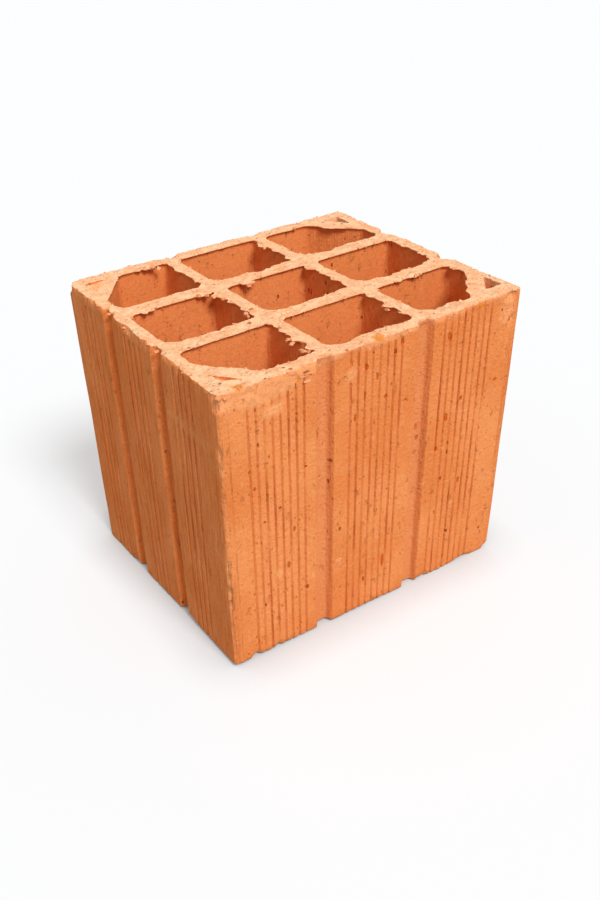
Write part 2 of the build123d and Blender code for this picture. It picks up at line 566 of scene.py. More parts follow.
# The outer edges of the cut ends: how far clay hangs out there, how much of it closes the grooves and
# lines, how far each effect reaches from the edge, and how uneven each is.
outer_hang = 0.22
outer_lip_reach = 1.2 * mm
closed_share, closed_reach = 0.45, 2.2 * mm
break_reach, break_power = 1.1 * mm, 1.4
foot_wave_reach, foot_break_reach, foot_break_share = 1.5 * mm, 1.0 * mm, 0.3
torn_skin_reach, fresh_reach = 7 * mm, 2.4 * mm
closing_clay = (tears, 0.3, 6 * mm, 2)
foot_waves = (tears, 0.2 * mm, 6 * mm, 2)
torn_skin = (grit, 0.9, 5 * mm, 2)
smear_lumps = (tears, 0.55 * mm, 3 * mm, 3)
fresh_patches = (tears, 1.2, 5 * mm, 3)
worn_bare, chipped_bare = 1.6 * mm, 1.5 * mm


def build_outer_ring(surface, loop, z):
    """One ring of the outer walls: grooves, lines, smears, rims and broken places at a height."""
    normals, groove, line = loop[:, 2:4], loop[:, 4], loop[:, 5]
    points = ring(loop[:, :2], z)
    below = cut_top - z
    strength = line_strength(loop[:, 6], z)
    smear = smeared(points)
    closed = (closed_share + uneven(points, *closing_clay)) * fade(below, closed_reach)
    open_line = line * strength * (1 - smear) * (1 - clamp(1.5 * closed))
    cut_in = groove * groove_deep * (1 - clamp(closed)) + open_line * line_deep
    crumbled = edge_break(points)
    rim = rim_outward(normals, points, outer_hang) * fade(below, outer_lip_reach)
    rim = rim - crumbled * fade(below, break_reach, break_power)
    foot_rim = uneven(points, *foot_waves) * fade(z, foot_wave_reach)
    foot_rim = foot_rim - foot_break_share * crumbled * fade(z, foot_break_reach)
    torn = clamp(1 - below / torn_skin_reach) * 1.6 - 0.75 + uneven(points, *torn_skin)
    smear = np.maximum(smear, clamp(torn))
    crumble = smear * uneven(points, *smear_lumps)
    worn = front_edge_wear(points)
    missing = sum(chip_depth(points, *chip) for chip in chips)
    outward = skin_relief(points) + rim + foot_rim + crumble - cut_in - worn - missing
    broken = clamp(worn / worn_bare) + missing / chipped_bare
    near_edge = fade(below, fresh_reach) + 0.7 * fade(z, fresh_reach)
    fresh = near_edge * clamp(0.4 + uneven(points, *fresh_patches))
    # Smeared clay is painted pale; on the short sides it is kept less pale, a painted shade.
    pale = smear * (0.25 + 0.55 * np.abs(normals[:, 1]))
    # The painted line value marks the score lines; the material darkens them with it, a painted shade.
    return surface.add(with_normals(points, normals, outward), cut=at_end(z),
                       line=clamp(line) * strength * (1 - smear),
                       groove=np.maximum(groove, fresh), chip=clamp(broken + pale))


def build_outer(surface):
    """The outer walls, from the cut top down to the foot. Gives the top and bottom rings."""
    loop = outer_loop()
    rings = [build_outer_ring(surface, loop, z) for z in outer_heights]
    surface.walls(rings, in_hole=False)
    return rings[0], rings[-1]


# Points around a cell near its rim and farther down, with the depths of the rings below the cut top
# and the heights of those on the way to the foot.
fine_count, coarse_count = 180, 60
fine_depths = np.array([0, 0.45, 0.9, 1.4, 2.1, 3.2, 5, 8]) * mm
coarse_middle = np.linspace(cut_top - 13 * mm, 8 * mm, 16)
coarse_heights = np.concatenate([coarse_middle, np.array([4, 1.6, 0.6, 0]) * mm])
# How far down from a cell's rim the hanging lip, hung tears, broken tears, bare clay and cut reach.
lip_reach, hung_reach, gone_reach = 1.25 * mm, 1.1 * mm, 3.5 * mm
bare_reach, bare_tear = 1.5 * mm, 3 * mm
cut_reach = 0.5 * mm
foot_lip_share, foot_lip_reach = 0.5, 1.2 * mm


def build_cell(surface, outline):
    """The walls of one cell. Gives the rings at its two ends."""
    outline = counterclockwise(outline)
    fine, coarse = evenly(outline, fine_count), evenly(outline, coarse_count)
    fine_out, coarse_out = hole_normals(fine), hole_normals(coarse)
    rim = ring(fine, cut_top)
    torn = torn_rim(rim)
    lip = rim_outward(fine_out, rim, 1.0)
    rings, lower_rings = [], []
    for below in fine_depths:
        points = ring(fine, cut_top - below)
        kept = np.where(torn > 0, fade(below, hung_reach, 3), fade(below, gone_reach))
        hang = lip * fade(below, lip_reach, 3) + torn * kept
        moved = drifted(with_normals(points, fine_out, hang + cell_relief(points)))
        fresh = clamp(np.abs(torn) / bare_tear) * fade(below, bare_reach, 1)
        rings.append(surface.add(moved, cut=max(0.0, 1 - below / cut_reach), inner=1.0, chip=fresh))
    foot_lip = foot_lip_share * rim_outward(coarse_out, ring(coarse, 0), 1.0)
    for z in coarse_heights:
        points = ring(coarse, z)
        hang = foot_lip * fade(z, foot_lip_reach)
        moved = drifted(with_normals(points, coarse_out, hang + cell_relief(points)))
        lower_rings.append(surface.add(moved, cut=at_end(z), inner=1.0))
    surface.walls(rings, in_hole=True)
    surface.taper_band(lower_rings[0], rings[-1])
    surface.walls(lower_rings, in_hole=True)
    return rings[0], lower_rings[-1]


# The webs lean sideways: the drift at the middle of the section, and its change for each length in y.
web_drift = -1.1 * mm
web_skew = -0.034


def drifted(points):
    """Moves the cells sideways as the die let them run, most in the middle and none at the sides."""
    moved = points.copy()
    inner_share = 1 - (points[:, 0] / half_length) ** 2
    moved[:, 0] += (web_drift + web_skew * points[:, 1]) * clamp(inner_share)
    return moved


# Corner pockets that a plug of clay closes near the top: side of the brick, and depth to the plug.
plugged = {(-1, -1): 0.5 * mm, (-1, 1): 0.9 * mm}
plug_thick = 16 * mm
plug_steps = (0.88, 0.76, 0.63, 0.5, 0.37, 0.24, 0.12)
plug_lumps = (tears, 0.5 * mm, 3 * mm, 3)
# The walls of the pockets: points around, rings down a short and a long stretch, the pocket that
# stands farther out in the real brick, its rough wall and its lip.
pocket_count = 48
short_stretch, short_rings, long_rings = 10 * mm, 4, 14
pocket_shift = {(1, -1): (3.0 * mm, 3.0 * mm)}
pocket_lumps = (tears, 0.5 * mm, 4 * mm, 2)
pocket_lip, pocket_lip_reach = 0.7, 1.2 * mm


def build_pocket(surface, column, row, outline):
    """The walls of one corner pocket, and its plug where clay has closed it."""
    loop = evenly(counterclockwise(outline), pocket_count) + pocket_shift.get((column, row), (0, 0))
    out = hole_normals(loop)
    lip = pocket_lip * rim_outward(out, ring(loop, cut_top), 1.0)
    plug = plugged.get((column, row))
    spans = [(cut_top, 0)]
    if plug is not None:
        spans = [(cut_top, cut_top - plug), (cut_top - plug - plug_thick, 0)]
    ends = []
    for high, low in spans:
        rings = []
        for z in np.linspace(high, low, short_rings if high - low < short_stretch else long_rings):
            points = ring(loop, z)
            shape = lip * fade(cut_top - z, pocket_lip_reach) + uneven(points, *pocket_lumps)
            rings.append(surface.add(with_normals(points, out, shape), cut=at_end(z), inner=1.0))
        surface.walls(rings, in_hole=True)
        ends += [rings[0], rings[-1]]
    if plug is not None:
        close_plug(surface, ends[1], up=True)
        close_plug(surface, ends[2], up=False)
    return ends[0], ends[-1]


# Hollows in the clay that closes the pockets, in millimetres: place, half sizes, turn in degrees and
# depth.
plug_hollows = [
    (-78.5, -66, 7.0, 3.0, -36, 2.6), (-82.5, -61, 2.6, 3.0, 0, 1.6), (-82.5, 66, 2.6, 8.0, -8, 2.2),
    (-79, 63, 3.2, 4.5, -30, 1.6),
]
hollow_outline = (tears, 0.2, 3 * mm, 2)
bare_hollow = 1.5 * mm


def plug_depth(points):
    """How deep the hollows run in the clay that closes a pocket."""
    total = np.zeros(len(points))
    ragged = uneven(points, *hollow_outline)
    for *oval, deep in plug_hollows:
        reach = flat_reach(points, *oval) + ragged
        total = np.maximum(total, deep * mm * clamp(1.15 - reach) ** 0.6)
    return total


def close_plug(surface, rim, up):
    """Closes a pocket with a lumpy floor, or the part below its plug with a lumpy roof."""
    points, _ = surface.arrays()
    edge = points[rim]
    centre = edge.mean(axis=0)
    previous = rim
    for share in plug_steps:
        inner = centre + (edge - centre) * share
        hollow = plug_depth(inner) * up
        inner[:, 2] += (uneven(inner, *plug_lumps) - hollow) * (1 if up else -1)
        fresh = clamp(hollow / bare_hollow)
        following = surface.add(inner, cut=(1 - 0.4 * fresh) * up, inner=0.5, chip=0.3 * fresh)
        outer, middle = (previous, following) if up else (following, previous)
        surface.band(outer, middle, in_hole=False)
        previous = following
    surface.faces.append(tuple(previous) if up else tuple(reversed(previous)))


# Lumps, flakes and broken hollows on the cut top, in millimetres: place, half sizes, turn in degrees,
# and height.
top_lumps = [
    (-46, 74, 4, 3, 20, 0.5), (-76, 23, 3.5, 2.2, 10, 0.45), (-43, 24, 5, 2, 20, 0.6),
    (-34, 12, 2.2, 6, 0, 0.6), (-33, -15, 1.8, 3, 0, 0.5), (-13, 23, 3.5, 2, 30, 0.5),
    (-22, -29.5, 4, 1.8, 10, 0.5), (65, -28.5, 5, 1.8, 0, 0.6), (89.5, -8, 1.8, 4, 0, 0.5),
    (2, -76, 3.5, 2.5, 20, 0.5), (-78, -77.5, 3.5, 2, 0, 0.45), (54, 76, 5, 2.4, 20, 0.5),
    (-29, 78, 3.5, 2.5, 0, -1.8), (-33, -76, 4, 3, 0, -0.7), (30, -76, 3, 3, 0, -0.6),
    (87, -76, 3, 2.5, 0, -0.8), (-60, -75.5, 8, 1.5, 4, 0.35), (50, -75, 10, 1.4, -3, 0.35),
    (-91, 20, 1.6, 9, 0, 0.4), (-91.5, -50, 1.5, 9, 0, 0.35), (91, 45, 1.8, 8, 0, 0.4),
    (10, 25, 8, 2, 0, -0.4), (60, 25.5, 9, 2, 0, 0.3), (-60, -26, 10, 2, 0, 0.3),
    (78, -60, 3, 1.6, -50, 0.5), (80, 50, 3, 1.6, -50, 0.5), (-86, -73, 4, 2, -40, 0.4),
]
lump_outline = (grit, 0.35, 2 * mm, 2)
bare_lump = 0.5 * mm
lump_patches = (grit, 1.4, 4 * mm, 2)
# Unevenness of a wire-cut face: swell, ridges dragged by the wire, grains, and dents past a threshold.
drag_turn = np.array([[0.8, 0.6, 0], [-0.6, 0.8, 0], [0, 0, 1]])
cut_swell = (waves, 0.26 * mm, 22 * mm, 2)
cut_drag = (tears, 0.30 * mm, 4.5 * mm, 3, (1, 0.45, 1))
cut_grains = (grit, 0.16 * mm, 1.3 * mm, 1)
cut_dents = (grit, 1, 2.4 * mm, 2)
dent_from, dent_deep = 0.38, 1.8 * mm
# Points this low in the cut foot are raised by this much, and by a share of the same unevenness.
foot_raise_below, foot_raise, foot_raise_share = 0.2 * mm, 0.35 * mm, 0.6
# The top's relief uses at most this share of the room that is left above the cut.
highest_share = 0.95


def top_lump_height(points):
    """Height of the lumps and hollows at each point of the cut top."""
    total = np.zeros(len(points))
    ragged = uneven(points, *lump_outline)
    for *oval, tall in top_lumps:
        reach = flat_reach(points, *oval) + ragged
        total += tall * mm * clamp((1.1 - reach) * 2.5)
    return total


def cut_relief(points):
    """Unevenness of the wire-cut face: drag ridges, crumbs, tears and dents."""
    dents = clamp(uneven(points, *cut_dents) - dent_from)
    raised = uneven(points, *cut_swell) + uneven(points @ drag_turn, *cut_drag)
    return raised + uneven(points, *cut_grains) - dent_deep * dents


def inside(points, outline):
    """Which points lie inside a closed outline."""
    x, y = points[:, 0], points[:, 1]
    result = np.zeros(len(points), bool)
    for (ax, ay), (bx, by) in zip(outline, np.roll(outline, -1, axis=0)):
        crosses = (ay > y) != (by > y)
        if not crosses.any() or ay == by:
            continue
        result ^= crosses & (x < (bx - ax) * (y - ay) / (by - ay) + ax)
    return result


def in_clay(spots, outer, holes):
    """Which flat places lie inside the outer outline and in none of the holes."""
    found = inside(spots, outer)
    for hole in holes:
        found &= ~inside(spots, hole)
    return found


# The net of points over a cut end: rows as a share of the spacing, shake, gap to the rims, points
# compared at a time, and how near two points have to be to count as one.
net_row_share, net_shake_share, net_gap_share = 0.866, 0.22, 0.55
net_block = 2000
same_point = 1e-7
top_spacing, foot_spacing = 0.78 * mm, 2.2 * mm
top_seed, foot_seed, crumb_seed = 21, 22, 34


def flat_net(spacing, seed):
    """Points of a slightly shaken net over the whole box."""
    xs = np.arange(cad_low[0], cad_high[0], spacing)
    ys = np.arange(cad_low[1], cad_high[1], spacing * net_row_share)
    net = np.array([(x + (k % 2) * spacing / 2, y) for k, y in enumerate(ys) for x in xs])
    generator = np.random.default_rng(seed)
    return net + generator.uniform(-net_shake_share, net_shake_share, net.shape) * spacing


def clear_of(net, rim, gap):
    """The points of a net that are farther than a gap from every point of a rim."""
    nearest = []
    for start in range(0, len(net), net_block):
        part = net[start:start + net_block, None]
        nearest.append(np.hypot(part[:, :, 0] - rim[:, 0], part[:, :, 1] - rim[:, 1]).min(axis=1))
    return net[np.concatenate(nearest) > gap]


def build_cap(surface, outer, holes, spacing, seed, facing_up):
    """One wire-cut end: a fine net of faces between the outer ring and the holes' rings."""
    points, _ = surface.arrays()
    loops = [outer, *holes]
    rim_numbers = np.concatenate(loops)
    outer_outline, *hole_outlines = [points[loop][:, :2] for loop in loops]
    rim = points[rim_numbers][:, :2]
    edges, start = [], 0
    for loop in loops:
        count = len(loop)
        edges += [(start + k, start + (k + 1) % count) for k in range(count)]
        start += count
    net = flat_net(spacing, seed)
    net = net[in_clay(net, outer_outline, hole_outlines)]
    net = clear_of(net, rim, spacing * net_gap_share)
    flat = [Vector(point) for point in np.vstack([rim, net])]
    found, _, triangles, origins, _, _ = delaunay_2d_cdt(flat, edges, [], 0, same_point)
    places = np.array([tuple(point) for point in found])
    numbers = np.full(len(found), -1)
    for index, sources in enumerate(origins):
        for source in sources:
            if source < len(rim_numbers):
                numbers[index] = rim_numbers[source]
    fresh = np.where(numbers < 0)[0]
    level = points[outer][:, 2].mean()
    numbers[fresh] = surface.add(ring(places[fresh], level), cut=1.0)
    triangles = np.array([face for face in triangles if len(face) == 3])
    in_section = in_clay(places[triangles].mean(axis=1), outer_outline, hole_outlines)
    for a, b, c in numbers[triangles[in_section]]:
        surface.faces.append((a, b, c) if facing_up else (c, b, a))


# Crumbs and curls of clay stuck to the top and its edges, in millimetres: place, half size, and how
# orange it is.
listed_crumbs = [
    (-92.6, -78.8, 170, 1.7, 1), (-90, -79.4, 169, 1.2, 1), (-46, 70, 171, 1.8, 1),
    (-43.5, 67, 171, 1.4, 0), (-50, 71.5, 171, 1.3, 1), (-76, 21, 171, 1.6, 0), (-73, 19.5, 171, 1.2, 0),
    (-45, 20, 171, 1.6, 1), (-41, 18, 171, 1.5, 1), (-38, 14, 171, 1.6, 0), (-36, 9, 170.5, 1.3, 1),
    (-36, -13, 170.5, 1.6, 0), (-36.5, -16, 170, 1.2, 1), (-12, 18, 170.5, 1.7, 0),
    (-15, 16.5, 170, 1.2, 1), (24, 62, 171, 1.5, 1), (22.5, 57, 170.5, 1.3, 0), (25, 34, 171, 1.4, 0),
    (24, 15, 171, 1.5, 0), (26, -6, 171, 1.2, 0), (25.5, -50, 170.5, 1.7, 0), (24.5, -54, 170, 1.4, 1),
    (-35.5, -51, 170.5, 1.6, 0), (-36.5, -55, 170, 1.5, 0), (-36, -64, 169.5, 1.9, 0),
    (-34.5, -67, 170, 1.3, 1), (54, 71.5, 171, 1.4, 1), (57, 72.5, 171, 1.1, 0), (63, -31, 171, 1.5, 1),
    (66, -31, 171, 1.2, 1), (86, -37, 171, 1.4, 0), (88, -8, 171, 1.2, 1), (76, -59, 171, 1.5, 0),
    (80, -54, 171, 1.2, 0), (73, -63, 171, 1.2, 0), (-48, -79.6, 166, 1.5, 0), (-45, -79.8, 163, 1.6, 0),
    (-43, -79.6, 166.5, 1.3, 1), (-52, -79.7, 169, 1.1, 1), (-80, -78, 171, 1.3, 1),
    (2, -77.5, 171, 1.5, 1), (5, -79, 170.5, 1.1, 0), (86, -79.3, 163, 1.3, 0), (89, -79.3, 160, 1.0, 0),
    (18, -79.3, 170, 1.1, 0), (48, -79.2, 170, 1.2, 0), (62, -79.3, 170.5, 1.0, 1),
    (-93.5, 30, 170.5, 1.2, 1), (-94, 12, 170, 1.1, 0), (-94, -22, 170.5, 1.3, 1),
    (-93.6, -48, 170.5, 1.1, 0), (-94, -70, 170, 1.2, 1), (92.5, 10, 171, 1.2, 0),
]
# A crumb's shape, and how the scattered ones vary: stray from the rim, size, and share of orange ones.
crumb_sides, crumb_levels = 8, 5
crumb_flat, crumb_long, crumb_ragged = (0.45, 0.75), (1.0, 1.5), 0.28
scattered_crumb_count = 110
crumb_stray, crumb_stray_up_share = 0.5, 0.4
scattered_size = (0.45, 0.95)
orange_share = 0.25


def add_crumb(surface, place, size, orange, generator):
    """One small lump of clay, sunk into the surface by about half."""
    turn = generator.uniform(0, 2 * pi)
    flat = generator.uniform(*crumb_flat)
    long = generator.uniform(*crumb_long)
    angles = np.arange(crumb_sides) / crumb_sides * 2 * pi
    rings = []
    for level in range(1, crumb_levels):
        lean = pi * level / crumb_levels
        x, y = long * sin(lean) * np.cos(angles), sin(lean) * np.sin(angles) / long
        spokes = np.column_stack([x, y, np.full(crumb_sides, flat * cos(lean))])
        spokes *= 1 + crumb_ragged * generator.uniform(-1, 1, (crumb_sides, 1))
        spokes[:, 0], spokes[:, 1] = turned(spokes[:, 0], spokes[:, 1], turn)
        points = np.array(place) * mm + spokes * size * mm
        rings.append(surface.add(points, cut=0.55, chip=0.3, groove=0.8 * orange))
    surface.walls(rings, in_hole=False)
    surface.faces.append(tuple(rings[0]))
    surface.faces.append(tuple(reversed(rings[-1])))


def add_crumbs(surface, rims):
    """The listed crumbs, and small ones scattered along the rims of the top."""
    generator = np.random.default_rng(crumb_seed)
    for *place, size, orange in listed_crumbs:
        add_crumb(surface, place, size, orange, generator)
    points, _ = surface.arrays()
    spots = points[np.concatenate(rims)] / mm
    for index in generator.choice(len(spots), scattered_crumb_count, replace=False):
        stray = generator.uniform(-crumb_stray, crumb_stray, 3) * (1, 1, crumb_stray_up_share)
        size = generator.uniform(*scattered_size)
        add_crumb(surface, spots[index] + stray, size, generator.random() < orange_share, generator)


def brick_surface():
    """The whole fired block as one mesh, with the crumbs that stick to it."""
    surface = Surface()
    outer_top, outer_foot = build_outer(surface)
    cells, pockets = cell_outlines()
    ends = [build_cell(surface, outline) for outline in cells]
    ends += [build_pocket(surface, *pocket) for pocket in pockets]
    tops, feet = zip(*ends)
    build_cap(surface, outer_top, tops, top_spacing, top_seed, facing_up=True)
    build_cap(surface, outer_foot, feet, foot_spacing, foot_seed, facing_up=False)
    add_crumbs(surface, [outer_top, *tops])
    return surface


def shape_points(points, values):
    """Gives the cut ends their relief, paints the lumps, leans the block and keeps it in its box."""
    up = points[:, 2]
    upper = values["cut"] * (up > height / 2)
    lower = values["cut"] * (up < height / 2)
    relief = cut_relief(points)
    lumps = top_lump_height(points)
    tint = clamp(np.abs(lumps) / bare_lump) * clamp(0.5 + uneven(points, *lump_patches))
    values["groove"] = np.maximum(values["groove"], upper * tint)
    shaped = points.copy()
    shaped[:, 2] += upper * np.minimum(relief + lumps, top_inset * highest_share)
    raised = np.clip(foot_raise + foot_raise_share * relief, 0, None)
    shaped[:, 2] += lower * raised * (up < foot_raise_below)
    return np.clip(out_of_square(shaped), cad_low, cad_high)


sharp_angle = radians(38)


def make_object(name, points, faces, values, material):
    """One visible piece with its painted values and its material."""
    mesh = bpy.data.meshes.new(name)
    mesh.from_pydata([tuple(point) for point in points], [], [tuple(int(v) for v in face) for face in faces])
    for label, numbers in values.items():
        attribute = mesh.attributes.new(label, "FLOAT", "POINT")
        attribute.data.foreach_set("value", np.ascontiguousarray(numbers, dtype=np.float32))
    mesh.shade_smooth()
    mesh.set_sharp_from_angle(angle=sharp_angle)
    mesh.materials.append(material)
    mesh.validate()
    made = bpy.data.objects.new(name, mesh)
    bpy.context.scene.collection.objects.link(made)
    return made


class Nodes:
    """A matt node material, and short calls for building it."""

    def __init__(self, name):
        self.material = bpy.data.materials.new(name)
        self.material.use_nodes = True
        self.tree = self.material.node_tree
        self.shader = self.tree.nodes["Principled BSDF"].inputs
        self.shader["Roughness"].default_value = 1.0
        self.shader["Specular IOR Level"].default_value = 0.0
        self.coordinates = self.add("ShaderNodeTexCoord").outputs["Object"]
        self.split = self.add("ShaderNodeSeparateXYZ", Vector=self.coordinates).outputs

    def add(self, kind, settings=None, **inputs):
        """A node with its settings, and a value or a link for each named input."""
        node = self.tree.nodes.new(kind)
        for key, value in (settings or {}).items():
            setattr(node, key, value)
        for key, value in inputs.items():
            self.feed(node.inputs[key.replace("_", " ")], value)
        return node

    def feed(self, socket, value):
        if isinstance(value, bpy.types.NodeSocket):
            self.tree.links.new(value, socket)
        else:
            socket.default_value = value

    def math(self, operation, *values, clamp=False):
        node = self.add("ShaderNodeMath", {"operation": operation, "use_clamp": clamp})
        for socket, value in zip(node.inputs, values):
            self.feed(socket, value)
        return node.outputs[0]

    def times(self, first, second):
        return self.math("MULTIPLY", first, second)

    def plus(self, base, value, amount):
        """A base plus a value times an amount."""
        return self.math("MULTIPLY_ADD", value, amount, base)

    def summed(self, base, *parts):
        """A base plus each value times its amount."""
        for value, amount in parts:
            base = self.plus(base, value, amount)
        return base

    def larger(self, first, second):
        return self.math("MAXIMUM", first, second)

    def ramp(self, value, low, high):
        """Zero below low, one above high, smooth between."""
        smooth = {"interpolation_type": "SMOOTHSTEP"}
        return self.add("ShaderNodeMapRange", smooth, Value=value, From_Min=low, From_Max=high).outputs[0]

    def mix(self, share, first, second):
        node = self.add("ShaderNodeMix", {"data_type": "RGBA"})
        for number, value in ((0, share), (6, first), (7, second)):
            self.feed(node.inputs[number], value)
        return node.outputs[2]

    def coated(self, base, *coats):
        """Colours laid over a base one by one, each as strong as its share times its amount."""
        for share, amount, colour in coats:
            base = self.mix(self.times(share, amount), base, colour)
        return base

    def stretched(self, size, up):
        """The object's coordinates in steps of a size, with another frequency up the brick."""
        node = self.add("ShaderNodeMapping", Vector=self.coordinates)
        node.inputs["Scale"].default_value = (1 / size, 1 / size, up / size)
        return node.outputs[0]

    def noise(self, size, detail, roughness=0.5, up=1):
        """Noise whose features are about a size across."""
        vector = self.stretched(size, up)
        node = self.add("ShaderNodeTexNoise", Vector=vector, Scale=1.0, Detail=detail, Roughness=roughness)
        return node.outputs["Fac"]

    def specks(self, size, share, smallest, largest, up=1):
        """Scattered dots: one for a share of the cells of a net, each with its own radius."""
        cells = self.add("ShaderNodeTexVoronoi", Vector=self.stretched(size, up), Scale=1.0)
        parts = self.add("ShaderNodeSeparateColor")
        self.feed(parts.inputs[0], cells.outputs["Color"])
        chosen = self.math("LESS_THAN", parts.outputs[0], share)
        radius = self.plus(smallest, parts.outputs[1], largest - smallest)
        near = self.math("DIVIDE", cells.outputs["Distance"], radius)
        return self.times(self.ramp(near, 1.0, 0.55), chosen)

    def marks(self, places):
        """Listed oval marks on the front, with ragged outlines."""
        ragged = self.plus(-0.6, self.noise(mark_ragged, 2.0), 1.2)
        sheet = self.ramp(self.split[1], -half_depth + marks_end, -half_depth + marks_full)
        total = 0.0
        for x, z, half_x, half_z in places:
            across = self.plus(-x / half_x, self.split[0], 1 / (half_x * mm))
            along = self.plus(-z / half_z, self.split[2], 1 / (half_z * mm))
            square = self.plus(self.times(along, along), across, across)
            total = self.larger(self.ramp(self.math("ADD", square, ragged), 1.2, 0.6), total)
        return self.times(total, sheet)

    def value(self, label):
        """A value painted on the mesh."""
        return self.add("ShaderNodeAttribute", {"attribute_name": label}).outputs["Fac"]


def srgb(red, green, blue):
    """A colour written as 0 to 255 screen values."""
    def linear(part):
        part /= 255
        return part / 12.92 if part <= 0.04045 else ((part + 0.055) / 1.055) ** 2.4
    return (linear(red), linear(green), linear(blue), 1.0)


white = (1, 1, 1, 1)
skin_orange = srgb(242, 152, 92)
skin_deep = srgb(232, 136, 75)
skin_pale = srgb(244, 164, 112)
# Dark clay for scabs, streaks and dark grains, and also painted shade in the score lines and groove flanks.
dark_skin_and_shade = srgb(206, 108, 56)
cut_deep = srgb(248, 172, 120)
cut_peach = srgb(253, 190, 145)
cut_pale = srgb(255, 210, 170)
cell_orange = srgb(238, 145, 84)
# Orange of torn grooves, fresh edges and crumbs, and also the painted shade tint of the short sides.
fresh_orange_and_shade_tint = srgb(236, 124, 52)
fresh_pale = srgb(255, 181, 127)
groove_clay = srgb(226, 150, 102)
pit_brown = srgb(158, 62, 16)
rust_orange = srgb(204, 86, 22)
ochre = srgb(230, 138, 42)

# Patterns in the clay: size of a feature, detail, roughness, and frequency up the brick.
clay_patterns = {
    "cloud": (45 * mm, 3.0),
    "blotch": (6.5 * mm, 4.0, 0.62, 0.6),
    "grain": (1.1 * mm, 2.0, 0.7),
    "crumbs": (2.1 * mm, 3.0, 0.65),
    "streak": (2.2 * mm, 3.0, 0.6, 0.06),
    "flakes": (5.2 * mm, 5.0, 0.68),
    "scabs": (4.0 * mm, 4.0, 0.65, 0.5),
}
# Dots in the clay: size of the net, share of its cells with a dot, smallest and largest radius as
# shares of the net's size, and frequency up the brick.
clay_dots = {
    "fine_pits": (3.0 * mm, 0.32, 0.12, 0.24, 0.6),
    "pits": (6.2 * mm, 0.22, 0.10, 0.19, 0.5),
    "rust": (11 * mm, 0.3, 0.07, 0.15, 0.42),
    "drips": (8.5 * mm, 0.6, 0.08, 0.16, 0.24),
    "bits": (3.6 * mm, 0.42, 0.12, 0.24),
    "yellow": (34 * mm, 0.10, 0.05, 0.09),
}
# How deep below the front its marks are full and end, how deep below a short side its own colouring
# starts and is full, how ragged the marks' outlines are, and the height of the finest relief.
marks_full, marks_end = 4 * mm, 6 * mm
side_start, side_full = 6 * mm, 5 * mm
mark_ragged = 0.9 * mm
bump_height = 1.1 * mm

# Marks on the front: place along the face and up it, and half sizes, in millimetres.
rust_marks = [
    (-37, 127, 1.1, 2.6), (-15.5, 130.5, 0.9, 2.4), (4, 136.5, 1.1, 1.2), (-9, 157, 1.3, 1.8),
    (9, 160, 1.2, 1.3), (45, 158, 1.1, 2.2), (6.5, 29, 1.1, 4.6), (-54, 78, 0.9, 1.6),
    (82, 121.5, 1.7, 0.9), (-77, 112, 0.9, 1.2), (41.5, 91, 1.2, 1.4), (29, 108, 1.0, 2.2),
    (-58, 56, 1.1, 2.2), (57, 118, 1.0, 1.2), (61, 63, 0.9, 2.0), (-2, 150, 0.8, 2.0),
]
ochre_marks = [
    (-82.5, 170, 3.4, 1.9), (-1, 170.5, 3.2, 1.6), (-50, 164, 0.9, 2.3), (66, 169.5, 2.0, 1.2),
]
dark_marks = [
    (-45.5, 166, 1.9, 0.5), (-51.5, 160.5, 0.4, 1.6), (30, 101, 1.0, 1.6), (-72, 90, 0.7, 0.7),
    (-62.5, 95, 1.0, 0.7), (-79.5, 122.5, 0.7, 0.7), (-7, 21.5, 0.9, 1.5), (-5, 163.5, 0.6, 0.7),
    (-46, 113.5, 0.8, 0.6), (-24.5, 65, 0.8, 1.4), (17.5, 130.5, 0.6, 0.7), (-10, 128, 0.5, 0.8),
    (88.5, 155, 1.0, 1.1), (55.5, 28.5, 0.9, 1.2), (47, 69.5, 0.8, 1.3), (-46, 35, 0.8, 1.4),
    (83, 19, 0.9, 1.0), (-30, 110, 0.8, 0.9),
]
pale_marks = [
    (-47, 162.5, 1.3, 1.5), (-49.5, 169, 2.2, 1.6), (-62, 154, 2.6, 0.7), (-65, 151.5, 1.9, 0.6),
    (-78, 164, 1.5, 2.8), (34, 71, 1.6, 0.8), (47, 90, 1.0, 1.2), (52, 66, 1.8, 0.7), (-25, 44, 2.4, 1.7),
    (61, 109, 2.8, 0.7), (-19.5, 37, 0.8, 1.7), (-64, 53, 2.2, 3.0), (-84, 118, 0.5, 1.8),
    (-42, 42, 1.2, 2.4), (57, 49, 1.8, 1.2), (12, 125, 1.6, 0.5),
]


